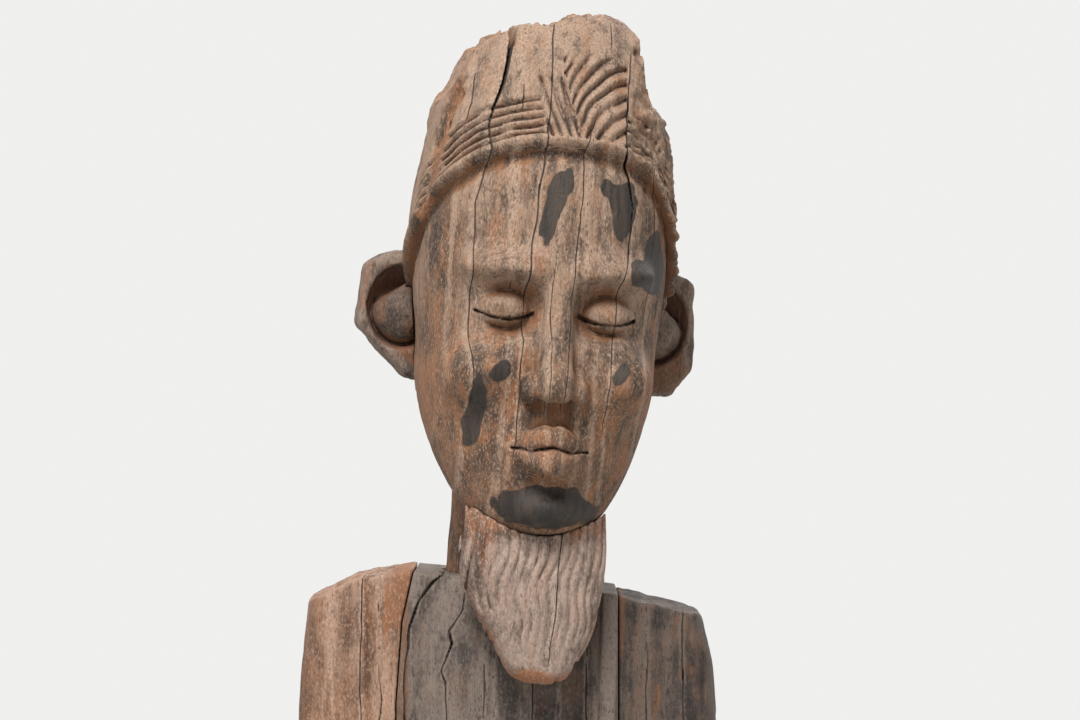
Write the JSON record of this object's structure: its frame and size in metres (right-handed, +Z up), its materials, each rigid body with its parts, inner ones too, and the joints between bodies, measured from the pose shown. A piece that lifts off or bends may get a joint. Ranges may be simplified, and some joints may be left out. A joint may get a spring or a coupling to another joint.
{
  "type": "carved ancestor figure",
  "caption": "Weathered carved hardwood ancestor figure, standing in a long gown, with a braided cap of hair, big square ears, a long tongue-shaped beard and slab arms at its sides.",
  "frame": {"origin": "centre of the plinth's underside", "axes": "+Z up along the figure's height, the figure faces -Y, +X towards the figure's own left"},
  "size_m": [0.3, 0.3085, 1.2024],
  "materials": {
    "weathered_heartwood": "matt",
    "dusty_carved_wood": "matt",
    "pale_carved_wood": "matt",
    "grey_carved_wood": "matt",
    "pale_sapwood": "matt",
    "dark_heartwood": "matt",
    "peg_wood": "matt"
  },
  "bodies": {
    "root": {"body": "weathered_heartwood", "head": "dusty_carved_wood", "beard": "pale_carved_wood", "ear_right": "grey_carved_wood", "ear_left": "grey_carved_wood", "arm_right": "pale_sapwood", "arm_left": "dark_heartwood", "plinth": "weathered_heartwood", "neck_pin": "peg_wood", "beard_peg": "peg_wood", "arm_peg_right_upper": "peg_wood", "arm_peg_right_lower": "peg_wood", "arm_peg_left_upper": "peg_wood", "arm_peg_left_lower": "peg_wood", "plinth_peg_right": "peg_wood", "plinth_peg_left": "peg_wood"}
  },
  "joints": []
}
